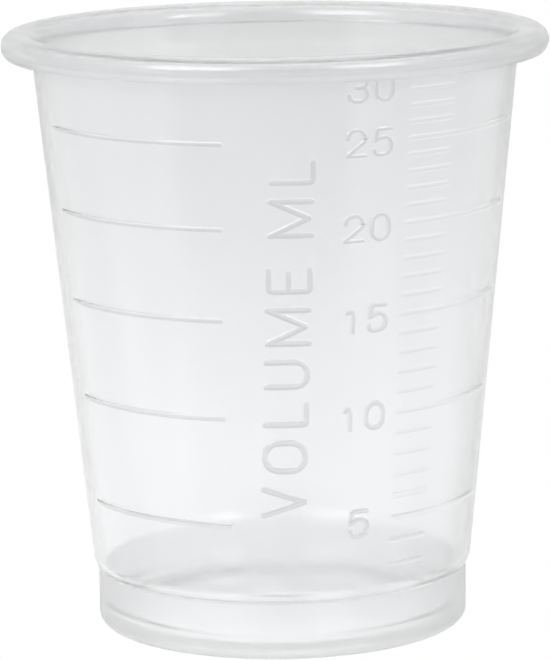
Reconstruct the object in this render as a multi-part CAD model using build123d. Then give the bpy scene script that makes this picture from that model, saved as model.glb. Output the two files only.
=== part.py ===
"""A 30 ml graduated medicine cup, moulded in one piece in clear polypropylene.

The cup is a thin cone on a short upright foot, with a turned-down lip round its brim. The raised
marks on its wall stand at the heights to which each volume fills it, so they are worked out from
the inside of the cup. Millimetres, +Z up, origin on the axis in the plane that the cup stands on.
Azimuths are in degrees from the cup's front, -Y, and grow towards +X.
"""

import math
import os

from build123d import *

# Driving dimensions: the body
CUP_HEIGHT = 43.56
FOOT_RADIUS = 13.53  # outside of the upright foot
FOOT_HEIGHT = 4.15  # up to the crease where the cone overhangs the foot
CREASE_STEP = 0.26  # how far the cone's own line stands outside the foot at the crease
SHOULDER_RISE = 0.45  # height over which the cone's lower end turns in to the crease
WALL_TAPER = 5.67  # degrees between the cone's side and its axis
WALL = 0.5
FLOOR_THICKNESS = 0.7

# Driving dimensions: edges of the foot and the base
FOOT_CORNER_RADIUS = 0.74
CREASE_RADIUS = 0.15
SHOULDER_RADIUS = 1.7
FLOOR_FILLET = 1.3
RING_WIDTH = 2.3  # the ring that the cup stands on, from its inner edge to the foot's outside
RING_EDGE_RADIUS = 0.15
BASE_RECESS = 0.35  # how far the floor's underside is above the table
GATE_RADIUS = 1.1
GATE_HEIGHT = 0.12

# Driving dimensions: the turned-down lip
LIP_WIDTH = 2.24  # beyond the cone's outside, at the level of the lip's foot
LIP_CROWN_RADIUS = 0.965  # the lip's outside is half round, so it's twice this tall
LIP_INNER_RADIUS = 1.15  # rounding of the brim's inner edge
LIP_TIP_RADIUS = 0.1
LIP_TUCK_ANGLE = 45.0  # degrees by which the lip's outside turns in below its widest point

# Driving dimensions: the raised marks
MARK_WIDTH = 0.5  # at its foot
MARK_TOP_WIDTH = 0.25
MARK_HEIGHT = 0.15
LONG_MARK_VOLUMES = (5, 10, 15, 20, 25)  # millilitres
LONG_MARK_ENDS = (-13.6, -14.2, -13.9, -13.1, -12.3)  # azimuth of each mark's end beside the legend
LONG_MARK_START = -68.0
FINE_MARK_FIRST = 3  # millilitres, the first mark that clears the shoulder
FINE_MARK_STEP = 1
FINE_MARK_LONG_STEP = 5
FINE_MARK_START = 32.0
FINE_MARK_END = 46.0
FINE_MARK_LONG_END = 76.0
LIP_CLEARANCE = 0.4  # least gap between the highest mark and the lip's lower edge

# Round corners of the section are drawn as chords this near to their arc, to keep its faces few
ROUND_TOLERANCE = 0.025
LEAST_CHORD = 0.001  # where two rounds meet, nearer points than this are one

# What follows from them
MICROLITRES = 1000.0  # cubic millimetres in a millilitre
LIP_FOOT = CUP_HEIGHT - 2 * LIP_CROWN_RADIUS
TAPER_SLOPE = math.tan(math.radians(WALL_TAPER))
CONE_FOOT_RADIUS = FOOT_RADIUS + CREASE_STEP
FLOOR_TOP = BASE_RECESS + FLOOR_THICKNESS


def outer_radius(height):
    """Radius of the cone's outside at a height."""
    return CONE_FOOT_RADIUS + (height - FOOT_HEIGHT) * TAPER_SLOPE


RIM_RADIUS = outer_radius(LIP_FOOT) + LIP_WIDTH


def turn_angle(before, corner, after):
    """Angle in radians by which a line turns at a corner."""
    first = math.atan2(corner[1] - before[1], corner[0] - before[0])
    second = math.atan2(after[1] - corner[1], after[0] - corner[0])
    return abs(math.remainder(second - first, 2 * math.pi))


def wall_corner(before, corner, after):
    """The corner of the wall's inside that lies behind a corner of its outside."""
    first = (Vector(*corner) - Vector(*before)).normalized()
    second = (Vector(*after) - Vector(*corner)).normalized()
    normals = Vector(-first.Y, first.X) + Vector(-second.Y, second.X)
    reach = WALL / (1 + first.dot(second))
    return (corner[0] + normals.X * reach, corner[1] + normals.Y * reach)


def rounding(radius, before, corner, after, share=0.85):
    """A corner's radius, or the largest that its shorter side has room for."""
    room = share * min(math.dist(before, corner), math.dist(corner, after))
    return min(radius, room / math.tan(turn_angle(before, corner, after) / 2))


# Corners of the wall, as (radius, height)
FOOT_CORNER = (FOOT_RADIUS, 0.0)
CREASE = (FOOT_RADIUS, FOOT_HEIGHT)
SHOULDER = (outer_radius(FOOT_HEIGHT + SHOULDER_RISE), FOOT_HEIGHT + SHOULDER_RISE)
CONE_TOP = (outer_radius(CUP_HEIGHT), CUP_HEIGHT)
INNER_CREASE = wall_corner(FOOT_CORNER, CREASE, SHOULDER)
INNER_SHOULDER = wall_corner(CREASE, SHOULDER, CONE_TOP)
INNER_TOP = (CONE_TOP[0] - WALL / math.cos(math.radians(WALL_TAPER)), CUP_HEIGHT)
FLOOR_CORNER = (FOOT_RADIUS - WALL, FLOOR_TOP)


def base_corners():
    """The underside: a recessed floor inside the ring that the cup stands on."""
    ring_inside = FOOT_RADIUS - RING_WIDTH
    return [
        (0.0, BASE_RECESS, 0.0),
        (ring_inside - BASE_RECESS, BASE_RECESS, RING_EDGE_RADIUS),
        (ring_inside, 0.0, RING_EDGE_RADIUS),
        (*FOOT_CORNER, FOOT_CORNER_RADIUS),
    ]


def outside_corners():
    """The foot, the crease and the shoulder where the cone begins."""
    shoulder_radius = rounding(SHOULDER_RADIUS, CREASE, SHOULDER, CONE_TOP)
    return [(*CREASE, CREASE_RADIUS), (*SHOULDER, shoulder_radius)]


def lip_corners():
    """The lip, from the wall's outside under its roof, round its edge to the brim's inner edge."""
    roof = CUP_HEIGHT - WALL
    skirt_inside = RIM_RADIUS - WALL
    tuck = math.radians(LIP_TUCK_ANGLE)
    tuck_start = CUP_HEIGHT - LIP_CROWN_RADIUS * (1 + math.tan(tuck / 2))
    tip = tuck_start - WALL / math.tan(tuck)
    gap = skirt_inside - outer_radius(roof)
    root_radius = min(LIP_INNER_RADIUS - WALL, gap / 2)
    return [
        (outer_radius(roof), roof, root_radius),
        (skirt_inside, roof, min(LIP_CROWN_RADIUS - WALL, gap / 3)),
        (skirt_inside, tip, LIP_TIP_RADIUS),
        (RIM_RADIUS, tuck_start, LIP_CROWN_RADIUS),
        (RIM_RADIUS, CUP_HEIGHT, LIP_CROWN_RADIUS),
        (*INNER_TOP, LIP_INNER_RADIUS),
    ]


def inside_corners():
    """The inside, from the cone down to the floor's centre."""
    shoulder_radius = rounding(SHOULDER_RADIUS - WALL, INNER_TOP, INNER_SHOULDER, INNER_CREASE, 0.6)
    crease_radius = rounding(CREASE_RADIUS + WALL, INNER_SHOULDER, INNER_CREASE, FLOOR_CORNER, 0.35)
    return [
        (*INNER_SHOULDER, shoulder_radius),
        (*INNER_CREASE, crease_radius),
        (*FLOOR_CORNER, FLOOR_FILLET),
        (0.0, FLOOR_TOP, 0.0),
    ]


def round_corner(before, corner, after, radius):
    """Points on the arc that rounds a corner, the first and last where it meets the two sides."""
    turn = turn_angle(before, corner, after)
    if radius == 0 or turn == 0:
        return [corner]
    here = Vector(*corner)
    to_before = (Vector(*before) - here).normalized()
    to_after = (Vector(*after) - here).normalized()
    centre = here + (to_before + to_after).normalized() * (radius / math.cos(turn / 2))
    first = here + to_before * (radius * math.tan(turn / 2)) - centre
    side = here + to_after * (radius * math.tan(turn / 2)) - centre
    chords = math.ceil(turn / (2 * math.acos(1 - min(ROUND_TOLERANCE / radius, 1))))
    points = []
    for step in range(chords + 1):
        angle = turn * step / chords
        reach = first * (math.sin(turn - angle) / math.sin(turn))
        reach += side * (math.sin(angle) / math.sin(turn))
        points.append((centre.X + reach.X, centre.Y + reach.Y))
    return points


def moulded_body():
    """The cup without its marks, turned about its axis from one closed section."""
    corners = base_corners() + outside_corners() + lip_corners() + inside_corners()
    points = []
    for index, (radius, height, rounding_radius) in enumerate(corners):
        before = corners[index - 1][:2]
        after = corners[(index + 1) % len(corners)][:2]
        points += round_corner(before, (radius, height), after, rounding_radius)
    outline = []
    for index, point in enumerate(points):
        if math.dist(point, points[index - 1]) > LEAST_CHORD:
            outline.append(point)
    section = Plane.XZ * make_face(Polyline(*outline, close=True))
    return revolve(section, axis=Axis.Z)


def gate_mark():
    """The low round witness that the injection gate leaves under the middle of the floor."""
    sunk = BASE_RECESS + FLOOR_THICKNESS / 2
    height = sunk - (BASE_RECESS - GATE_HEIGHT)
    return Pos(0, 0, sunk) * Cylinder(GATE_RADIUS, height, align=(Align.CENTER, Align.CENTER, Align.MAX))


def filled_volume(height):
    """Volume in cubic millimetres that the cup holds up to a height."""
    corners = [FLOOR_CORNER, INNER_CREASE, INNER_SHOULDER, INNER_TOP]
    spandrel = (1 - math.pi / 4) * FLOOR_FILLET**2
    spandrel_reach = FLOOR_FILLET * (10 - 3 * math.pi) / (12 - 3 * math.pi)
    volume = -2 * math.pi * (FLOOR_CORNER[0] - spandrel_reach) * spandrel
    for (low_radius, low), (high_radius, high) in zip(corners, corners[1:]):
        if height <= low:
            break
        top = min(height, high)
        top_radius = low_radius + (high_radius - low_radius) * (top - low) / (high - low)
        squares = low_radius**2 + low_radius * top_radius + top_radius**2
        volume += math.pi * (top - low) * squares / 3
    return volume


def fill_height(millilitres):
    """Height to which a volume fills the cup, found by halving."""
    low = FLOOR_TOP
    high = CUP_HEIGHT
    for _ in range(50):
        middle = (low + high) / 2
        if filled_volume(middle) < millilitres * MICROLITRES:
            low = middle
        else:
            high = middle
    return (low + high) / 2


def raised_mark(height, start, end):
    """One rib with sloping flanks round part of the cone, between two azimuths."""
    foot = outer_radius(height) - WALL / 2
    top = outer_radius(height) + MARK_HEIGHT
    flank = (MARK_WIDTH - MARK_TOP_WIDTH) / 2
    sunk_width = MARK_WIDTH + 2 * flank * (WALL / 2) / MARK_HEIGHT
    points = [
        (foot, height - sunk_width / 2),
        (top, height - MARK_TOP_WIDTH / 2),
        (top, height + MARK_TOP_WIDTH / 2),
        (foot, height + sunk_width / 2),
    ]
    section = Plane.XZ * make_face(Polyline(*points, close=True))
    return Rot(0, 0, start - 90) * revolve(section, axis=Axis.Z, revolution_arc=end - start)


def long_marks():
    """The five-millilitre marks on the left of the front."""
    marks = []
    for millilitres, end in zip(LONG_MARK_VOLUMES, LONG_MARK_ENDS):
        marks.append(raised_mark(fill_height(millilitres), LONG_MARK_START, end))
    return marks


def fine_marks():
    """The one-millilitre scale on the right, with every fifth mark long."""
    marks = []
    millilitres = FINE_MARK_FIRST
    highest = LIP_FOOT - LIP_CLEARANCE - MARK_WIDTH / 2
    while fill_height(millilitres) < highest:
        is_long = millilitres % FINE_MARK_LONG_STEP == 0
        end = FINE_MARK_LONG_END if is_long else FINE_MARK_END
        marks.append(raised_mark(fill_height(millilitres), FINE_MARK_START, end))
        millilitres += FINE_MARK_STEP
    return marks


def cup():
    """The whole cup as one solid."""
    return moulded_body().fuse(gate_mark(), *long_marks(), *fine_marks())


def main():
    """Writes the cup's STEP file."""
    os.makedirs("parts", exist_ok=True)
    export_step(cup(), "parts/cup.step")


if __name__ == "__main__":
    main()
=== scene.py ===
"""Looks of a graduated medicine cup, moulded in one piece in clear, slightly milky polypropylene.

The visible cup is one closed mesh: a lathed body joined with its raised marks, plain numbers and a
unit legend. It takes the place of the plain CAD solid of the same shape. Metres, +Z up, origin on
the axis in the plane that the cup stands on. Azimuths run from the front, -Y, towards +X.
"""

import logging
import math
from dataclasses import dataclass, field
from enum import Enum

import bpy
from mathutils import Matrix, Vector


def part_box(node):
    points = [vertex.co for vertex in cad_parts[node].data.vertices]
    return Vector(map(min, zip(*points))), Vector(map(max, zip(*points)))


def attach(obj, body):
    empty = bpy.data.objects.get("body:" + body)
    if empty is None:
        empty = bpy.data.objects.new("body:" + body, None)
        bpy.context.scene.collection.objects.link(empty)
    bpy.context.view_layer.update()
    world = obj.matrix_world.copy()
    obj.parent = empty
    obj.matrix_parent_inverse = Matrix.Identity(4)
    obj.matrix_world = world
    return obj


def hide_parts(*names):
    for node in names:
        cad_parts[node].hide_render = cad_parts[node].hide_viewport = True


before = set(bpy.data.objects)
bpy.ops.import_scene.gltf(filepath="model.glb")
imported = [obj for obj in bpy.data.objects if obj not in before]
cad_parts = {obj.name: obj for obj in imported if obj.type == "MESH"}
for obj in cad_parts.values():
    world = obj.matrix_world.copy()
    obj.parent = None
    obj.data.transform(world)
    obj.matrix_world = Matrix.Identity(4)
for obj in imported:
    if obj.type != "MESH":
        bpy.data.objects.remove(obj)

LOG = logging.getLogger("cup")
MM = 0.001
MILLILITRE = 1e-6
NODE = "cup"
BODY = "root"
SLOT = "clear_polypropylene"
# Name of the vertex value that says how much painted shade each place gets.
PAINTED_SHADE = "relief"
FULLNESS = "fullness"
Point = tuple[float, float]
Corner = tuple[float, float, float]
Colour = tuple[float, float, float, float]


def deselect_everything() -> None:
    """Leaves edit mode, with nothing selected."""
    if bpy.context.object and bpy.context.object.mode != "OBJECT":
        bpy.ops.object.mode_set(mode="OBJECT")
    bpy.ops.object.select_all(action="DESELECT")


def make_active(piece: bpy.types.Object) -> None:
    """Selects one object alone and makes it active.

    Args:
        piece: The object that the next operators act on.
    """
    deselect_everything()
    piece.select_set(True)
    bpy.context.view_layer.objects.active = piece


def apply_modifiers(piece: bpy.types.Object) -> None:
    """Applies all of an object's modifiers in order.

    Args:
        piece: The object whose modifiers become part of its mesh.
    """
    make_active(piece)
    for modifier in list(piece.modifiers):
        bpy.ops.object.modifier_apply(modifier=modifier.name)


@dataclass(frozen=True)
class CupShape:
    """The cup's own sizes in metres, and the heights and radii that follow from them."""

    height: float
    foot_radius: float = 13.53 * MM
    foot_height: float = 4.15 * MM
    crease_step: float = 0.26 * MM
    shoulder_rise: float = 0.45 * MM
    wall_taper: float = math.radians(5.67)
    wall: float = 0.5 * MM
    floor_thickness: float = 0.7 * MM
    foot_corner_radius: float = 0.74 * MM
    crease_radius: float = 0.15 * MM
    shoulder_radius: float = 1.7 * MM
    floor_fillet: float = 1.3 * MM
    ring_width: float = 2.3 * MM
    ring_edge_radius: float = 0.15 * MM
    base_recess: float = 0.35 * MM
    gate_radius: float = 1.1 * MM
    gate_height: float = 0.12 * MM
    gate_edge_radius: float = 0.05 * MM
    lip_width: float = 2.24 * MM
    lip_crown_radius: float = 0.965 * MM
    lip_inner_radius: float = 1.15 * MM
    lip_tip_radius: float = 0.1 * MM
    lip_tuck_angle: float = math.radians(45)
    halvings: int = 50

    @property
    def slope(self) -> float:
        """How much the cone's radius grows with height."""
        return math.tan(self.wall_taper)

    @property
    def floor_top(self) -> float:
        """Height of the floor's inside."""
        return self.base_recess + self.floor_thickness

    @property
    def lip_foot(self) -> float:
        """Height where the lip's outside begins, which is half round above it."""
        return self.height - 2 * self.lip_crown_radius

    @property
    def rim_radius(self) -> float:
        """Outside radius of the lip."""
        return self.outer_radius(self.lip_foot) + self.lip_width

    @property
    def ring_inside(self) -> float:
        """Inside radius of the ring that the cup stands on."""
        return self.foot_radius - self.ring_width

    def outer_radius(self, height: float) -> float:
        """Gives the radius of the cone's outside at a height above the table."""
        return self.foot_radius + self.crease_step + (height - self.foot_height) * self.slope

    def behind(self, before: Point, corner: Point, after: Point) -> Point:
        """Finds the corner of the wall's inside that lies behind one of its outside.

        Args:
            before: The outside corner below.
            corner: The outside corner itself.
            after: The outside corner above.

        Returns:
            The inside corner as (radius, height).
        """
        first = (Vector(corner) - Vector(before)).normalized()
        second = (Vector(after) - Vector(corner)).normalized()
        normals = Vector((-first.y - second.y, first.x + second.x))
        return tuple(Vector(corner) + normals * self.wall / (1 + first.dot(second)))

    def wall_corners(self) -> tuple[list[Point], list[Point]]:
        """Lists the corners of the wall without its lip.

        Returns:
            The outside corners upwards, and the inside corners downwards.
        """
        foot = (self.foot_radius, 0.0)
        crease = (self.foot_radius, self.foot_height)
        shoulder_height = self.foot_height + self.shoulder_rise
        shoulder = (self.outer_radius(shoulder_height), shoulder_height)
        top = (self.outer_radius(self.height), self.height)
        inner_top = (top[0] - self.wall / math.cos(self.wall_taper), self.height)
        inner_shoulder = self.behind(crease, shoulder, top)
        inner_crease = self.behind(foot, crease, shoulder)
        floor = (self.foot_radius - self.wall, self.floor_top)
        return [foot, crease, shoulder], [inner_top, inner_shoulder, inner_crease, floor]

    def section(self) -> list[Corner]:
        """Lists the corners of the whole section, from the underside's centre to the floor's.

        Returns:
            Each corner as (radius, height, rounding radius).
        """
        (foot, crease, shoulder), (inner_top, inner_shoulder, inner_crease, floor) = self.wall_corners()
        button = self.base_recess - self.gate_height
        roof = self.height - self.wall
        skirt_inside = self.rim_radius - self.wall
        tuck_start = self.height - self.lip_crown_radius * (1 + math.tan(self.lip_tuck_angle / 2))
        tip = tuck_start - self.wall / math.tan(self.lip_tuck_angle)
        return [
            (0.0, button, 0.0),
            (self.gate_radius, button, self.gate_edge_radius),
            (self.gate_radius, self.base_recess, self.gate_edge_radius),
            (self.ring_inside - self.base_recess, self.base_recess, self.ring_edge_radius),
            (self.ring_inside, 0.0, self.ring_edge_radius),
            (*foot, self.foot_corner_radius),
            (*crease, self.crease_radius),
            (*shoulder, self.shoulder_radius),
            (self.outer_radius(roof), roof, self.lip_inner_radius - self.wall),
            (skirt_inside, roof, self.lip_crown_radius - self.wall),
            (skirt_inside, tip, self.lip_tip_radius),
            (self.rim_radius, tuck_start, self.lip_crown_radius),
            (self.rim_radius, self.height, self.lip_crown_radius),
            (*inner_top, self.lip_inner_radius),
            (*inner_shoulder, self.shoulder_radius - self.wall),
            (*inner_crease, self.crease_radius + self.wall),
            (*floor, self.floor_fillet),
            (0.0, self.floor_top, 0.0),
        ]

    def filled_volume(self, height: float) -> float:
        """Works out what the cup holds up to a height.

        Args:
            height: Height of the liquid above the table.

        Returns:
            The volume in cubic metres.
        """
        _, inside = self.wall_corners()
        corners = inside[::-1]
        # The floor's fillet takes this area off the corner, with its centroid this far from the wall.
        spandrel = (1 - math.pi / 4) * self.floor_fillet**2
        spandrel_reach = self.floor_fillet * (10 - 3 * math.pi) / (12 - 3 * math.pi)
        volume = -2 * math.pi * (corners[0][0] - spandrel_reach) * spandrel
        for (low_radius, low), (high_radius, high) in zip(corners, corners[1:]):
            top = min(height, high)
            if top <= low:
                break
            top_radius = low_radius + (high_radius - low_radius) * (top - low) / (high - low)
            squares = low_radius**2 + low_radius * top_radius + top_radius**2
            volume += math.pi * (top - low) * squares / 3
        return volume

    def fill_height(self, millilitres: float) -> float:
        """Finds by halving how high a volume stands in the cup.

        Args:
            millilitres: The volume.

        Returns:
            Its height above the table.
        """
        low, high = self.floor_top, self.height
        for _ in range(self.halvings):
            middle = (low + high) / 2
            if self.filled_volume(middle) < millilitres * MILLILITRE:
                low = middle
            else:
                high = middle
        return (low + high) / 2


@dataclass
class Lathe:
    """Draws a section with a pen in the XZ plane and turns it about the cup's axis."""

    name: str
    turn_segments: int = 256
    arc_step: float = math.radians(12)
    longest_run: float = 2 * MM
    merge_distance: float = 1e-7
    least_turn: float = 1e-6
    least_arc_steps: int = 2
    piece: bpy.types.Object = field(init=False)
    place: Vector = field(init=False)

    def start(self, at: Point) -> None:
        """Makes the new mesh and puts its single first vertex in place.

        Args:
            at: The first point as (radius, height).
        """
        deselect_everything()
        bpy.ops.mesh.primitive_plane_add(size=self.merge_distance, location=(0, 0, 0))
        self.piece = bpy.context.object
        self.piece.name = self.name
        self.piece.data.name = self.name
        bpy.ops.object.mode_set(mode="EDIT")
        bpy.ops.mesh.select_mode(type="VERT")
        bpy.ops.mesh.select_all(action="SELECT")
        bpy.ops.mesh.merge(type="CENTER")
        bpy.ops.transform.translate(value=(at[0], 0, at[1]))
        self.place = Vector(at)

    def line_to(self, point: Vector) -> None:
        """Extrudes the last vertex in a straight line, in runs that are short enough to carry a finish.

        Args:
            point: Where the line ends, as (radius, height).
        """
        reach = point - self.place
        if reach.length > self.merge_distance:
            runs = math.ceil(reach.length / self.longest_run)
            step = reach / runs
            for _ in range(runs):
                bpy.ops.mesh.extrude_region_move(TRANSFORM_OT_translate={"value": (step.x, 0, step.y)})
            self.place = point

    def round(self, before: Vector, corner: Vector, after: Vector, radius: float) -> None:
        """Draws up to a rounded corner and round it.

        Args:
            before: The corner that the line comes from.
            corner: The corner that is rounded.
            after: The corner that the line goes on to.
            radius: The rounding's radius, or 0 for a sharp corner.
        """
        arriving = (corner - before).normalized()
        leaving = (after - corner).normalized()
        turn = arriving.angle_signed(leaving)
        if radius == 0 or abs(turn) < self.least_turn:
            self.line_to(corner)
            return
        setback = radius * math.tan(abs(turn) / 2)
        self.line_to(corner - arriving * setback)
        side = 1 if turn < 0 else -1
        centre = self.place + Vector((-arriving.y, arriving.x)) * radius * side
        steps = max(self.least_arc_steps, math.ceil(abs(turn) / self.arc_step))
        bpy.ops.mesh.spin(steps=steps, angle=abs(turn), center=(centre.x, 0, centre.y), axis=(0, side, 0))
        self.place = corner + leaving * setback

    def turned(self, section: list[Corner]) -> bpy.types.Object:
        """Draws a section and turns it all the way round.

        Args:
            section: The corners as (radius, height, rounding radius), from axis to axis.

        Returns:
            The closed piece.
        """
        points = [Vector(corner[:2]) for corner in section]
        self.start(section[0][:2])
        for index in range(1, len(points) - 1):
            self.round(points[index - 1], points[index], points[index + 1], section[index][2])
        self.line_to(points[-1])
        bpy.ops.mesh.select_all(action="SELECT")
        bpy.ops.mesh.spin(steps=self.turn_segments, angle=math.tau, center=(0, 0, 0), axis=(0, 0, 1))
        bpy.ops.mesh.select_all(action="SELECT")
        bpy.ops.mesh.remove_doubles(threshold=self.merge_distance)
        bpy.ops.mesh.normals_make_consistent(inside=False)
        bpy.ops.object.mode_set(mode="OBJECT")
        return self.piece


@dataclass(frozen=True)
class Bead:
    """The round-topped bead that every raised line on the wall is made of.

    It stands out of the wall by half its thickness less what is sunk.
    """

    width: float
    thickness: float
    sunk: float
    facets_round: int = 16
    rings: int = 8
    arc_step: float = math.radians(18)
    least_arc_steps: int = 2
    longest_run: float = 0.5 * MM


@dataclass(frozen=True)
class Stroke:
    """One stroke of a pen, as corners (along, up, rounding) in shares of the letter's height."""

    corners: tuple[Corner, ...]
    closed: bool = False

    def sized(self, height: float) -> "Stroke":
        """Gives the same stroke in metres, for a letter this high between its strokes' middle lines."""
        corners = tuple(tuple(value * height for value in corner) for corner in self.corners)
        return Stroke(corners, self.closed)


def loop(width: float, rounding: float) -> Stroke:
    """Draws an upright ring with rounded corners, such as an O.

    Args:
        width: Its width between middle lines.
        rounding: Radius of its corners.

    Returns:
        The closed stroke, starting in the middle of its bottom.
    """
    side = width / 2
    return Stroke(
        (
            (0, -0.5, 0),
            (side, -0.5, rounding),
            (side, 0.5, rounding),
            (-side, 0.5, rounding),
            (-side, -0.5, rounding),
            (0, -0.5, 0),
        ),
        closed=True,
    )


def line(*ends: Point) -> Stroke:
    """Draws a stroke that joins these points in straight runs with sharp corners."""
    return Stroke(tuple((*end, 0) for end in ends))


GLYPHS: dict[str, tuple[Stroke, ...]] = {
    "0": (loop(0.72, 0.36),),
    "1": (Stroke(((-0.17, 0.26, 0), (0.06, 0.5, 0.12), (0.06, -0.5, 0))),),
    "2": (
        Stroke(
            (
                (-0.36, 0.17, 0),
                (-0.36, 0.5, 0.32),
                (0.36, 0.5, 0.36),
                (0.36, 0.07, 0.25),
                (-0.36, -0.48, 0),
            )
        ),
        line((-0.36, -0.5), (0.36, -0.5)),
    ),
    "3": (
        Stroke(
            (
                (-0.34, 0.33, 0),
                (-0.34, 0.5, 0.16),
                (0.32, 0.5, 0.24),
                (0.32, 0.02, 0.22),
                (-0.06, 0.02, 0),
            )
        ),
        Stroke(
            (
                (0.0, 0.03, 0),
                (0.37, 0.03, 0.25),
                (0.37, -0.5, 0.27),
                (-0.36, -0.5, 0.25),
                (-0.36, -0.24, 0),
            )
        ),
    ),
    "5": (
        Stroke(((0.32, 0.5, 0), (-0.28, 0.5, 0.12), (-0.33, 0.03, 0))),
        Stroke(
            (
                (-0.33, 0.06, 0),
                (-0.05, 0.17, 0.3),
                (0.36, 0.17, 0.31),
                (0.36, -0.5, 0.34),
                (-0.36, -0.5, 0.18),
                (-0.36, -0.3, 0),
            )
        ),
    ),
    "E": (
        Stroke(((0.27, 0.5, 0), (-0.27, 0.5, 0.1), (-0.27, -0.5, 0.1), (0.27, -0.5, 0))),
        line((-0.27, 0.02), (0.2, 0.02)),
    ),
    "L": (Stroke(((-0.25, 0.5, 0), (-0.25, -0.5, 0.1), (0.25, -0.5, 0))),),
    "M": (
        line((-0.42, -0.5), (-0.42, 0.5)),
        line((-0.42, 0.49), (0, -0.41)),
        line((0.01, -0.42), (0.42, 0.48)),
        line((0.42, 0.5), (0.42, -0.5)),
    ),
    "O": (loop(0.72, 0.36),),
    "U": (Stroke(((-0.31, 0.5, 0), (-0.31, -0.5, 0.3), (0.31, -0.5, 0.3), (0.31, 0.5, 0))),),
    "V": (line((-0.33, 0.5), (0, -0.5)), line((0.01, -0.49), (0.33, 0.5))),
}


@dataclass
class Pen:
    """Moves a ball along a stroke in the XZ plane, so that it leaves a bead with round ends."""

    bead: Bead
    merge_distance: float = 1e-7
    piece: bpy.types.Object = field(init=False)
    place: Vector = field(init=False)

    def select_facing(self, direction: Vector) -> None:
        """Selects the faces of the last ball that look along a direction.

        Args:
            direction: The direction in the XZ plane.
        """
        bpy.ops.mesh.select_all(action="DESELECT")
        bpy.ops.object.mode_set(mode="OBJECT")
        for face in self.piece.data.polygons:
            face.select = (face.center - self.place).dot(direction) > self.merge_distance
        bpy.ops.object.mode_set(mode="EDIT")

    def start(self, name: str, at: Vector, direction: Vector) -> None:
        """Puts the pen's ball down, with its seams square to the way it will go.

        Args:
            name: Name of the new piece.
            at: Where the ball's middle goes.
            direction: Which way the pen will move.
        """
        deselect_everything()
        bpy.ops.mesh.primitive_uv_sphere_add(
            segments=self.bead.facets_round,
            ring_count=self.bead.rings,
            radius=1,
            location=at,
            rotation=(math.pi / 2, math.atan2(-direction.z, direction.x), 0),
            scale=(self.bead.width / 2, self.bead.width / 2, self.bead.thickness / 2),
        )
        bpy.ops.object.transform_apply(location=True, rotation=True, scale=True)
        self.piece = bpy.context.object
        self.piece.name = name
        self.place = at
        bpy.ops.object.mode_set(mode="EDIT")
        bpy.ops.mesh.select_mode(type="FACE")
        self.select_facing(direction)

    def run_to(self, point: Vector) -> None:
        """Moves in a straight line, in steps short enough to wrap round the cup.

        Args:
            point: Where the run ends.
        """
        way = point - self.place
        if way.length <= self.merge_distance:
            return
        steps = math.ceil(way.length / self.bead.longest_run)
        for _ in range(steps):
            bpy.ops.mesh.extrude_region_move(TRANSFORM_OT_translate={"value": way / steps})
        self.place = point

    def turn(self, before: Vector, corner: Vector, after: Vector, radius: float) -> None:
        """Moves up to a rounded corner and round it.

        Args:
            before: The corner that the line comes from.
            corner: The corner that is rounded.
            after: The corner that the line goes on to.
            radius: The rounding's radius.
        """
        arriving = (corner - before).normalized()
        leaving = (after - corner).normalized()
        angle = arriving.angle(leaving)
        side = 1 if arriving.cross(leaving).y < 0 else -1
        setback = radius * math.tan(angle / 2)
        self.run_to(corner - arriving * setback)
        centre = self.place + Vector((-arriving.z, 0, arriving.x)) * radius * side
        steps = max(self.bead.least_arc_steps, math.ceil(angle / self.bead.arc_step))
        bpy.ops.mesh.spin(steps=steps, angle=angle, center=centre, axis=(0, side, 0))
        self.place = corner + leaving * setback

    def drawn(self, name: str, stroke: Stroke) -> bpy.types.Object:
        """Draws one stroke.

        Args:
            name: Name of the new piece.
            stroke: The stroke in metres.

        Returns:
            The closed bead, lying flat in the XZ plane.
        """
        points = [Vector((along, self.bead.sunk, up)) for along, up, _ in stroke.corners]
        first_way = (points[1] - points[0]).normalized()
        self.start(name, points[0], first_way)
        for index in range(1, len(points) - 1):
            self.turn(points[index - 1], points[index], points[index + 1], stroke.corners[index][2])
        self.run_to(points[-1])
        if stroke.closed:
            bpy.ops.mesh.delete(type="FACE")
            self.place = points[0]
            self.select_facing(-first_way)
            self.keep_ball_only(points[0])
            bpy.ops.mesh.delete(type="FACE")
        bpy.ops.mesh.select_all(action="SELECT")
        bpy.ops.mesh.remove_doubles(threshold=self.merge_distance)
        bpy.ops.mesh.normals_make_consistent(inside=False)
        bpy.ops.object.mode_set(mode="OBJECT")
        return self.piece

    def keep_ball_only(self, middle: Vector) -> None:
        """Leaves only the selected faces that belong to the ball round a point.

        Args:
            middle: The ball's middle.
        """
        bpy.ops.object.mode_set(mode="OBJECT")
        reach = self.bead.width / 2 + self.merge_distance
        for face in self.piece.data.polygons:
            corners = [self.piece.data.vertices[index].co for index in face.vertices]
            face.select = face.select and all((corner - middle).length <= reach for corner in corners)
        bpy.ops.object.mode_set(mode="EDIT")


@dataclass(frozen=True)
class WallPlace:
    """A place on the cone's outside for a flat piece, its azimuth in degrees and its turn in radians."""

    azimuth: float
    height: float
    turn: float = 0.0


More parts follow.
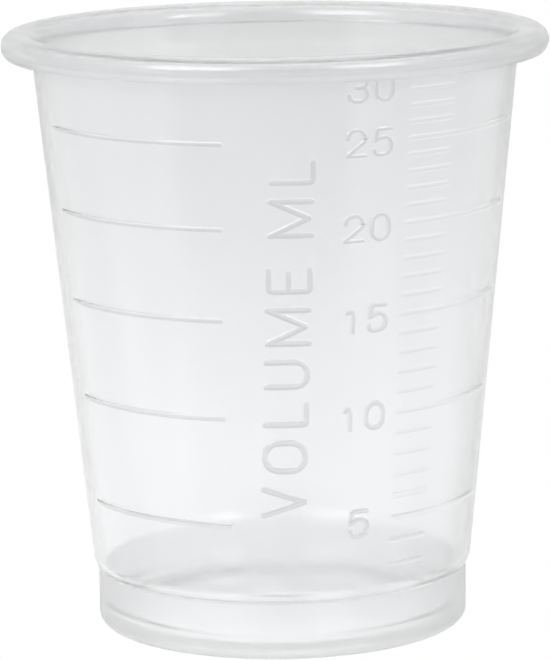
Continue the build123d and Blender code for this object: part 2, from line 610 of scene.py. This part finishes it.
@dataclass
class RaisedMarks:
    """All the raised lines, numbers and letters on the cup's outside, their azimuths in degrees."""

    shape: CupShape
    rib: Bead = Bead(width=0.42 * MM, thickness=0.14 * MM, sunk=0.005 * MM)
    fine_rib: Bead = Bead(width=0.5 * MM, thickness=0.12 * MM, sunk=0.025 * MM)
    number_bead: Bead = Bead(width=0.42 * MM, thickness=0.26 * MM, sunk=0.04 * MM)
    legend_bead: Bead = Bead(width=0.5 * MM, thickness=0.2 * MM, sunk=0.01 * MM)
    long_volumes: tuple[int, ...] = (5, 10, 15, 20, 25)
    long_start: float = -68.0
    long_ends: tuple[float, ...] = (-13.6, -14.2, -13.9, -13.1, -12.3)
    fine_first: int = 3
    fine_long_step: int = 5
    fine_start: float = 32.0
    fine_end: float = 46.0
    fine_long_end: float = 76.0
    lip_clearance: float = 0.4 * MM
    number_azimuth: float = 22.1
    number_height: float = 1.8 * MM
    number_pitch: float = 1.98 * MM
    number_below_mark: float = 0.1 * MM
    hidden_number: int = 30
    hidden_number_height: float = 41.1 * MM
    legend: str = "VOLUME ML"
    legend_letter_height: float = 2.85 * MM
    legend_gap: float = 1.33 * MM
    legend_space: float = 1.1 * MM
    legend_bottom: float = 10.85 * MM
    legend_bottom_azimuth: float = 0.6
    legend_top_azimuth: float = 3.7
    legend_top: float = 36.2 * MM

    def wrap(self, piece: bpy.types.Object, place: WallPlace) -> None:
        """Bends a piece that lies flat in the XZ plane round the cone.

        Args:
            piece: The flat piece, whose +X runs along the wall and whose -Y points out of it.
            place: Where its origin goes, and how far it is turned anticlockwise.
        """
        turn = Matrix.Rotation(-place.turn, 3, "Y")
        for vertex in piece.data.vertices:
            flat = turn @ vertex.co
            height = place.height + flat.z
            wall = self.shape.outer_radius(height)
            azimuth = math.radians(place.azimuth) + flat.x / wall
            radius = wall - flat.y
            vertex.co = (radius * math.sin(azimuth), -radius * math.cos(azimuth), height)

    def rib_at(self, rib: Bead, height: float, start: float, end: float) -> bpy.types.Object:
        """Makes one raised line round part of the wall.

        Args:
            rib: Its bead.
            height: Height of its middle.
            start: Azimuth of its left end.
            end: Azimuth of its right end.

        Returns:
            The bead.
        """
        half = math.radians(end - start) / 2 * self.shape.outer_radius(height) - rib.width / 2
        piece = Pen(rib).drawn(f"line_{height / MM:.0f}_{start:.0f}", line((-half, 0), (half, 0)))
        self.wrap(piece, WallPlace((start + end) / 2, height))
        return piece

    def long_lines(self) -> list[bpy.types.Object]:
        """Makes the five-millilitre lines on the left of the legend.

        Returns:
            Their beads, from the lowest up.
        """
        return [
            self.rib_at(self.rib, self.shape.fill_height(volume), self.long_start, end)
            for volume, end in zip(self.long_volumes, self.long_ends)
        ]

    def fine_lines(self) -> list[bpy.types.Object]:
        """Makes the one-millilitre scale on the right, with every fifth line long.

        Returns:
            Its beads, from the lowest up.
        """
        pieces = []
        volume = self.fine_first
        highest = self.shape.lip_foot - self.lip_clearance - self.rib.width / 2
        while self.shape.fill_height(volume) < highest:
            end = self.fine_end if volume % self.fine_long_step else self.fine_long_end
            pieces.append(self.rib_at(self.fine_rib, self.shape.fill_height(volume), self.fine_start, end))
            volume += 1
        return pieces

    def glyph(
        self, character: str, bead: Bead, height: float, aside: float, place: WallPlace
    ) -> list[bpy.types.Object]:
        """Makes one number or letter.

        Args:
            character: Which one.
            bead: What its strokes are made of.
            height: Its height between its strokes' middle lines.
            aside: How far along the flat layout its middle lies.
            place: Where the flat layout's origin goes on the wall.

        Returns:
            One bead for each of its strokes.
        """
        pieces = []
        for number, stroke in enumerate(GLYPHS[character]):
            piece = Pen(bead).drawn(f"letter_{character}_{number}", stroke.sized(height))
            piece.data.transform(Matrix.Translation((aside, 0, 0)))
            self.wrap(piece, place)
            pieces.append(piece)
        return pieces

    def numbers(self) -> list[bpy.types.Object]:
        """Makes the plain numbers between the two scales.

        Returns:
            The beads of all their strokes.
        """
        pieces = []
        for volume in (*self.long_volumes, self.hidden_number):
            height = self.shape.fill_height(volume) - self.number_below_mark
            if volume == self.hidden_number:
                height = self.hidden_number_height
            digits = str(volume)
            for index, digit in enumerate(digits):
                aside = (index - (len(digits) - 1) / 2) * self.number_pitch
                place = WallPlace(self.number_azimuth, height)
                pieces += self.glyph(digit, self.number_bead, self.number_height, aside, place)
        return pieces

    def glyph_sides(self, character: str) -> Point:
        """Gives the left and right sides of a character from its middle, in shares of its height."""
        alongs = [corner[0] for stroke in GLYPHS[character] for corner in stroke.corners]
        return min(alongs), max(alongs)

    def legend_letters(self) -> list[bpy.types.Object]:
        """Makes the legend that climbs the front of the cup.

        Returns:
            The beads of all its letters' strokes.
        """
        pieces = []
        climbed = 0.0
        leaning = self.legend_top_azimuth - self.legend_bottom_azimuth
        lean = leaning / (self.legend_top - self.legend_bottom)
        for character in self.legend:
            if character == " ":
                climbed += self.legend_space
                continue
            left, right = self.glyph_sides(character)
            middle = climbed - left * self.legend_letter_height
            azimuth = self.legend_bottom_azimuth + middle * lean
            place = WallPlace(azimuth, self.legend_bottom + middle, math.pi / 2)
            pieces += self.glyph(character, self.legend_bead, self.legend_letter_height, 0, place)
            climbed = middle + right * self.legend_letter_height + self.legend_gap
        LOG.info("legend climbs to %.2f mm", (self.legend_bottom + climbed - self.legend_gap) / MM)
        return pieces

    def made(self) -> list[bpy.types.Object]:
        """Makes the beads of every mark."""
        return self.long_lines() + self.fine_lines() + self.numbers() + self.legend_letters()


@dataclass
class MedicineCup:
    """The moulded cup: its lathed body joined with all its raised marks."""

    shape: CupShape
    smooth_angle: float = math.radians(16)
    merge_distance: float = 2e-7
    lip_fullness: float = 0.7
    # Share of painted shade on the lip, grey standing in for the darkening that its bending of light gives.
    lip_greyness: float = 0.22
    ring_fullness: float = 1.9
    foot_fullness: float = 1.9
    least_relief: float = 0.01 * MM
    most_relief: float = 0.065 * MM
    highest_relief: float = 0.2 * MM
    # Power of the curve from relief height to painted shade on the raised marks.
    relief_power: float = 3.0

    def built(self) -> bpy.types.Object:
        """Makes the cup's one closed mesh.

        Returns:
            The finished piece.
        """
        cup = Lathe("moulded_cup").turned(self.shape.section())
        self.join_marks(cup, RaisedMarks(self.shape).made())
        make_active(cup)
        bpy.ops.object.mode_set(mode="EDIT")
        bpy.ops.mesh.select_all(action="SELECT")
        bpy.ops.mesh.remove_doubles(threshold=self.merge_distance)
        bpy.ops.mesh.dissolve_degenerate(threshold=self.merge_distance)
        bpy.ops.object.mode_set(mode="OBJECT")
        bpy.ops.object.shade_smooth_by_angle(angle=self.smooth_angle)
        self.note_finish(cup)
        return cup

    def join_marks(self, cup: bpy.types.Object, beads: list[bpy.types.Object]) -> None:
        """Makes the lathed body and its marks one closed mesh.

        Args:
            cup: The body, which the marks become part of.
            beads: The marks' beads, which are used up.

        Raises:
            ValueError: If the union left the body as it was.
        """
        marks = bpy.data.collections.new("raised_marks")
        bpy.context.scene.collection.children.link(marks)
        for bead in beads:
            for owner in list(bead.users_collection):
                owner.objects.unlink(bead)
            marks.objects.link(bead)
        union = cup.modifiers.new("marks", "BOOLEAN")
        union.operation = "UNION"
        union.solver = "MANIFOLD"
        union.operand_type = "COLLECTION"
        union.collection = marks
        plain = len(cup.data.vertices)
        apply_modifiers(cup)
        if len(cup.data.vertices) <= plain:
            raise ValueError("the marks did not join the cup")
        for bead in beads:
            bpy.data.meshes.remove(bead.data)
        bpy.data.collections.remove(marks)

    def finish_at(self, radius: float, height: float) -> tuple[float, float]:
        """Works out the painted shade and the finish at a place on the cup.

        Args:
            radius: Distance from the axis.
            height: Height above the table.

        Returns:
            How much painted shade the place gets, from 0 to 1, which grows with how far it stands out of the
            wall and is fixed on the lip, and how full the plastic is there.
        """
        shape = self.shape
        # The lip gets a fixed share of painted shade.
        if height > shape.lip_foot:
            return self.lip_greyness, self.lip_fullness
        if height < shape.floor_top and radius > shape.ring_inside:
            return 0.0, self.ring_fullness
        if height < shape.foot_height and radius > shape.foot_radius - shape.wall / 2:
            return 0.0, self.foot_fullness
        # Raised marks get painted shade that grows with how far they stand out.
        proud = radius - shape.outer_radius(height)
        if self.least_relief < proud < self.highest_relief:
            return min(1.0, (proud / self.most_relief) ** self.relief_power), 0.0
        return 0.0, 0.0

    def note_finish(self, cup: bpy.types.Object) -> None:
        """Notes the painted shade and the finish on each vertex, where the plastic's material reads them.

        Args:
            cup: The finished mesh.
        """
        relief = cup.data.attributes.new(PAINTED_SHADE, "FLOAT", "POINT")
        fullness = cup.data.attributes.new(FULLNESS, "FLOAT", "POINT")
        # Each vertex's first value is its painted shade.
        for vertex, proud, full in zip(cup.data.vertices, relief.data, fullness.data):
            radius = math.hypot(vertex.co.x, vertex.co.y)
            proud.value, full.value = self.finish_at(radius, vertex.co.z)

    def dress(self, cup: bpy.types.Object) -> None:
        """Gives the finished mesh its plastic, and puts it in the plain solid's place.

        Args:
            cup: The finished mesh.
        """
        cup.data.materials.clear()
        cup.data.materials.append(ClearPolypropylene().made())
        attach(cup, BODY)
        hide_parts(NODE)


class Change(Enum):
    """How a ramp goes from its first value to its last."""

    EVEN = "LINEAR"
    SMOOTH = "SMOOTHSTEP"


class Joining(Enum):
    """How two values become one."""

    SUM = "ADD"
    PRODUCT = "MULTIPLY"


@dataclass(frozen=True)
class Ramp:
    """A change from one value to another over a stretch of something else, held at both ends."""

    first: float
    last: float
    at_first: float = 0.0
    at_last: float = 1.0
    change: Change = Change.EVEN

    def wired(self, tree: bpy.types.NodeTree, source: bpy.types.NodeSocket) -> bpy.types.NodeSocket:
        """Adds the ramp to a node tree.

        Args:
            tree: The nodes.
            source: What the ramp follows.

        Returns:
            The socket that gives the ramp's value.
        """
        node = tree.nodes.new("ShaderNodeMapRange")
        node.interpolation_type = self.change.value
        node.inputs["From Min"].default_value = self.first
        node.inputs["From Max"].default_value = self.last
        node.inputs["To Min"].default_value = self.at_first
        node.inputs["To Max"].default_value = self.at_last
        tree.links.new(source, node.inputs["Value"])
        return node.outputs["Result"]


def joined(
    tree: bpy.types.NodeTree, joining: Joining, first: bpy.types.NodeSocket, second: bpy.types.NodeSocket
) -> bpy.types.NodeSocket:
    """Makes one value of two in a node tree.

    Args:
        tree: The nodes.
        joining: Whether they are added or multiplied.
        first: One value.
        second: The other value.

    Returns:
        The socket that gives the result.
    """
    node = tree.nodes.new("ShaderNodeMath")
    node.operation = joining.value
    tree.links.new(first, node.inputs[0])
    tree.links.new(second, node.inputs[1])
    return node.outputs["Value"]


@dataclass(frozen=True)
class ClearPolypropylene:
    """Clear polypropylene with the slight milkiness and the flow marks that moulding leaves, and painted
    shade on its raised marks and lip.
    """

    colour: Colour = (0.985, 0.99, 0.995, 1)
    index: float = 1.49
    least_clear: float = 0.92
    most_clear: float = 0.98
    smoothest: float = 0.08
    roughest: float = 0.17
    # Grey painted into the raised marks and the lip: painted shade standing in for the darkening that light
    # bending through them gives.
    mark_colour: Colour = (0.72, 0.73, 0.74, 1)
    full_dullness: float = 0.12
    full_milkiness: float = 0.1
    flow_squeeze: float = 0.2
    noise_range: tuple[float, float] = (0.3, 0.7)
    clouds_per_metre: float = 1 / (9 * MM)
    cloud_detail: float = 3
    ripples_per_metre: float = 1 / (4.5 * MM)
    ripple_detail: float = 2
    ripple_depth: float = 0.003 * MM

    def made(self) -> bpy.types.Material:
        """Makes the material.

        Returns:
            The material, for the cup's only slot.
        """
        material = bpy.data.materials.new(SLOT)
        material.use_nodes = True
        tree = material.node_tree
        shader = tree.nodes["Principled BSDF"]
        shader.inputs["IOR"].default_value = self.index
        # Painted shade for the raised marks and the lip, then how full the plastic is on the lip and foot.
        relief = self.noted(tree, PAINTED_SHADE)
        fullness = self.noted(tree, FULLNESS)
        painted_shade_mix = self.tinted(tree, relief)
        cloud = self.noise(tree, self.clouds_per_metre, self.cloud_detail)
        clear = Ramp(*self.noise_range, self.most_clear, self.least_clear).wired(tree, cloud)
        clear = self.added(tree, fullness, -self.full_milkiness, clear)
        ripple = self.noise(tree, self.ripples_per_metre, self.ripple_detail)
        rough = Ramp(*self.noise_range, self.smoothest, self.roughest).wired(tree, ripple)
        rough = self.added(tree, fullness, self.full_dullness, rough)
        bump = tree.nodes.new("ShaderNodeBump")
        bump.inputs["Strength"].default_value = 1.0
        bump.inputs["Distance"].default_value = self.ripple_depth
        tree.links.new(ripple, bump.inputs["Height"])
        tree.links.new(painted_shade_mix, shader.inputs["Base Color"])
        tree.links.new(clear, shader.inputs["Transmission Weight"])
        tree.links.new(rough, shader.inputs["Roughness"])
        tree.links.new(bump.outputs["Normal"], shader.inputs["Normal"])
        return material

    def tinted(self, tree: bpy.types.NodeTree, relief: bpy.types.NodeSocket) -> bpy.types.NodeSocket:
        """Paints shade into the plastic's colour where it stands out of the wall and on the lip.

        Args:
            tree: The material's nodes.
            relief: The socket that says how much painted shade each place gets.

        Returns:
            The socket that gives the colour with its painted shade.
        """
        painted_shade_mix = tree.nodes.new("ShaderNodeMix")
        painted_shade_mix.data_type = "RGBA"
        share, plain, shaded = (socket for socket in painted_shade_mix.inputs if socket.enabled)
        plain.default_value = self.colour
        # The grey mixed in here is painted shade.
        shaded.default_value = self.mark_colour
        tree.links.new(relief, share)
        return next(socket for socket in painted_shade_mix.outputs if socket.enabled)

    def noise(self, tree: bpy.types.NodeTree, scale: float, detail: float) -> bpy.types.NodeSocket:
        """Adds a noise texture that is fixed to the cup and drawn out upwards, as the plastic flowed.

        Args:
            tree: The material's nodes.
            scale: How many clouds or ripples it has in a metre.
            detail: How many finer layers it has.

        Returns:
            The socket that gives the noise.
        """
        place = tree.nodes.new("ShaderNodeTexCoord")
        drawn_out = tree.nodes.new("ShaderNodeMapping")
        drawn_out.inputs["Scale"].default_value = (1, 1, self.flow_squeeze)
        tree.links.new(place.outputs["Object"], drawn_out.inputs["Vector"])
        node = tree.nodes.new("ShaderNodeTexNoise")
        node.inputs["Scale"].default_value = scale
        node.inputs["Detail"].default_value = detail
        tree.links.new(drawn_out.outputs["Vector"], node.inputs["Vector"])
        return node.outputs["Fac"]

    def noted(self, tree: bpy.types.NodeTree, name: str) -> bpy.types.NodeSocket:
        """Reads a value that the cup's vertices carry.

        Args:
            tree: The material's nodes.
            name: The value's name.

        Returns:
            The socket that gives it.
        """
        node = tree.nodes.new("ShaderNodeAttribute")
        node.attribute_name = name
        return node.outputs["Fac"]

    def added(
        self, tree: bpy.types.NodeTree, value: bpy.types.NodeSocket, share: float, base: bpy.types.NodeSocket
    ) -> bpy.types.NodeSocket:
        """Adds a share of one value to another, held between none and all.

        Args:
            tree: The material's nodes.
            value: The value that is scaled.
            share: How much of it is added.
            base: What it is added to.

        Returns:
            The socket that gives the sum.
        """
        node = tree.nodes.new("ShaderNodeMath")
        node.operation = "MULTIPLY_ADD"
        node.use_clamp = True
        node.inputs[1].default_value = share
        tree.links.new(value, node.inputs[0])
        tree.links.new(base, node.inputs[2])
        return node.outputs["Value"]


@dataclass(frozen=True)
class SoftBox:
    """One rectangular studio light that points at the cup, with its azimuth and elevation in degrees."""

    name: str
    azimuth: float
    elevation: float
    distance: float
    width: float
    depth: float
    power: float

    def hung(self, aim: Vector) -> bpy.types.Object:
        """Hangs the light.

        Args:
            aim: The point that it shines at.

        Returns:
            The light.
        """
        azimuth = math.radians(self.azimuth)
        elevation = math.radians(self.elevation)
        across = math.sin(azimuth) * math.cos(elevation)
        along = -math.cos(azimuth) * math.cos(elevation)
        place = self.distance * Vector((across, along, math.sin(elevation)))
        deselect_everything()
        bpy.ops.object.light_add(type="AREA", location=place)
        lamp = bpy.context.object
        lamp.name = self.name
        lamp.data.shape = "RECTANGLE"
        lamp.data.size = self.width
        lamp.data.size_y = self.depth
        lamp.data.energy = self.power
        lamp.rotation_euler = (aim - place).to_track_quat("-Z", "Y").to_euler()
        return lamp


@dataclass
class Studio:
    """A white table that glows with painted light, a bright room with a dark gap in front, two soft boxes
    and the camera.
    """

    aim_height: float = 21.366 * MM
    aim_aside: float = -0.2858 * MM
    camera_distance: float = 297.44 * MM
    camera_elevation: float = math.radians(10.562)
    camera_roll: float = math.radians(-0.8554)
    camera_clip: float = 10 * MM
    lens: float = 221.9
    sensor: float = 36.0
    table_size: float = 4.0
    table_drop: float = 0.03 * MM
    # Painted light on the table: its glow fades with depth behind the cup and is a little brighter on the
    # left.
    table_depth: Ramp = Ramp(60 * MM, 240 * MM, 1.0, 0.77)
    table_breadth: Ramp = Ramp(-20 * MM, 20 * MM, 0.025, -0.025)
    light_bounces: int = 32
    room_light: float = 0.88
    dark_azimuth: float = math.radians(8)
    dark_half_width: float = math.radians(47)
    dark_top: float = math.radians(60)
    dark_softness: float = math.radians(6)
    white: Colour = (1, 1, 1, 1)
    boxes: tuple[SoftBox, ...] = (
        SoftBox("left_box", azimuth=-39, elevation=38, distance=0.9, width=0.55, depth=0.4, power=4),
        SoftBox("right_box", azimuth=43, elevation=34, distance=0.9, width=0.4, depth=0.3, power=2.5),
    )

    def table_white(self) -> bpy.types.Material:
        """Makes the table's glowing white, with painted light that is brightest in front, fades behind the
        cup and is a little brighter on the left, which the camera itself sees burnt out.

        Returns:
            The material.
        """
        material = bpy.data.materials.new("white_table_painted_light")
        material.use_nodes = True
        tree = material.node_tree
        tree.nodes.remove(tree.nodes["Principled BSDF"])
        place = tree.nodes.new("ShaderNodeTexCoord")
        split = tree.nodes.new("ShaderNodeSeparateXYZ")
        tree.links.new(place.outputs["Object"], split.inputs["Vector"])
        # The glow's strength is painted light, set by place on the table.
        painted_falloff = self.table_depth.wired(tree, split.outputs["Y"])
        painted_side_light = self.table_breadth.wired(tree, split.outputs["X"])
        lit = tree.nodes.new("ShaderNodeEmission")
        tree.links.new(joined(tree, Joining.SUM, painted_falloff, painted_side_light), lit.inputs["Strength"])
        burnt_out = tree.nodes.new("ShaderNodeEmission")
        path = tree.nodes.new("ShaderNodeLightPath")
        seen = tree.nodes.new("ShaderNodeMixShader")
        tree.links.new(path.outputs["Is Camera Ray"], seen.inputs[0])
        tree.links.new(lit.outputs["Emission"], seen.inputs[1])
        tree.links.new(burnt_out.outputs["Emission"], seen.inputs[2])
        tree.links.new(seen.outputs["Shader"], tree.nodes["Material Output"].inputs["Surface"])
        return material

    def table(self) -> bpy.types.Object:
        """Makes the white table that the cup stands on.

        Returns:
            The table, which is no part of the cup.
        """
        deselect_everything()
        bpy.ops.mesh.primitive_plane_add(size=self.table_size, location=(0, 0, -self.table_drop))
        bpy.ops.object.transform_apply(location=True, rotation=True, scale=True)
        piece = bpy.context.object
        piece.name = "table"
        piece.data.materials.append(self.table_white())
        return piece

    def dark_gap(self, tree: bpy.types.NodeTree) -> bpy.types.NodeSocket:
        """Finds how far each direction of the room lies inside the dark gap in front of the cup.

        Args:
            tree: The room's nodes.

        Returns:
            The socket that gives 1 in the gap and 0 outside it.
        """
        place = tree.nodes.new("ShaderNodeTexCoord")
        facing = tree.nodes.new("ShaderNodeVectorMath")
        facing.operation = "DOT_PRODUCT"
        facing.inputs[1].default_value = (math.sin(self.dark_azimuth), -math.cos(self.dark_azimuth), 0)
        tree.links.new(place.outputs["Generated"], facing.inputs[0])
        split = tree.nodes.new("ShaderNodeSeparateXYZ")
        tree.links.new(place.outputs["Generated"], split.inputs["Vector"])
        outside = math.cos(self.dark_half_width + self.dark_softness)
        inside = math.cos(self.dark_half_width - self.dark_softness)
        across = Ramp(outside, inside, change=Change.SMOOTH).wired(tree, facing.outputs["Value"])
        above = math.sin(self.dark_top + self.dark_softness)
        below = math.sin(self.dark_top - self.dark_softness)
        upright = Ramp(above, below, change=Change.SMOOTH).wired(tree, split.outputs["Z"])
        return joined(tree, Joining.PRODUCT, across, upright)

    def room(self) -> None:
        """Sets the light that comes from all round, which the camera itself sees as plain white."""
        world = bpy.data.worlds.new("studio")
        bpy.context.scene.world = world
        world.use_nodes = True
        tree = world.node_tree
        lit = tree.nodes["Background"]
        lit.inputs["Color"].default_value = self.white
        gap = self.dark_gap(tree)
        tree.links.new(Ramp(0.0, 1.0, self.room_light, 0.0).wired(tree, gap), lit.inputs["Strength"])
        burnt_out = tree.nodes.new("ShaderNodeBackground")
        burnt_out.inputs["Color"].default_value = self.white
        path = tree.nodes.new("ShaderNodeLightPath")
        seen = tree.nodes.new("ShaderNodeMixShader")
        tree.links.new(path.outputs["Is Camera Ray"], seen.inputs[0])
        tree.links.new(lit.outputs["Background"], seen.inputs[1])
        tree.links.new(burnt_out.outputs["Background"], seen.inputs[2])
        tree.links.new(seen.outputs["Shader"], tree.nodes["World Output"].inputs["Surface"])

    def camera(self) -> bpy.types.Object:
        """Stands the camera in front of the cup, a little above it.

        Returns:
            The camera.
        """
        deselect_everything()
        turned = Matrix.Rotation(math.pi / 2 - self.camera_elevation, 4, "X")
        turned = turned @ Matrix.Rotation(self.camera_roll, 4, "Z")
        back = self.camera_distance * math.cos(self.camera_elevation)
        up = self.camera_distance * math.sin(self.camera_elevation)
        place = (self.aim_aside, -back, self.aim_height + up)
        bpy.ops.object.camera_add(location=place, rotation=turned.to_euler())
        camera = bpy.context.object
        camera.name = "camera"
        camera.data.sensor_width = self.sensor
        camera.data.lens = self.lens
        camera.data.clip_start = self.camera_clip
        bpy.context.scene.camera = camera
        return camera

    def built(self) -> None:
        """Sets the whole studio up."""
        scene = bpy.context.scene
        scene.view_settings.view_transform = "Standard"
        scene.cycles.max_bounces = self.light_bounces
        scene.cycles.glossy_bounces = self.light_bounces
        scene.cycles.transmission_bounces = self.light_bounces
        self.table()
        self.room()
        for box in self.boxes:
            box.hung(Vector((0, 0, self.aim_height)))
        self.camera()


def main() -> None:
    """Builds the cup and its studio in order, and reports each piece."""
    logging.basicConfig(level=logging.INFO)
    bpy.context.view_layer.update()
    maker = MedicineCup(CupShape(height=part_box(NODE)[1].z))
    cup = maker.built()
    maker.dress(cup)
    LOG.info("%s has %d faces", cup.name, len(cup.data.polygons))
    studio = Studio()
    studio.built()
    LOG.info("the studio has its table, its room, %d soft boxes and its camera", len(studio.boxes))


if __name__ == "__main__":
    main()
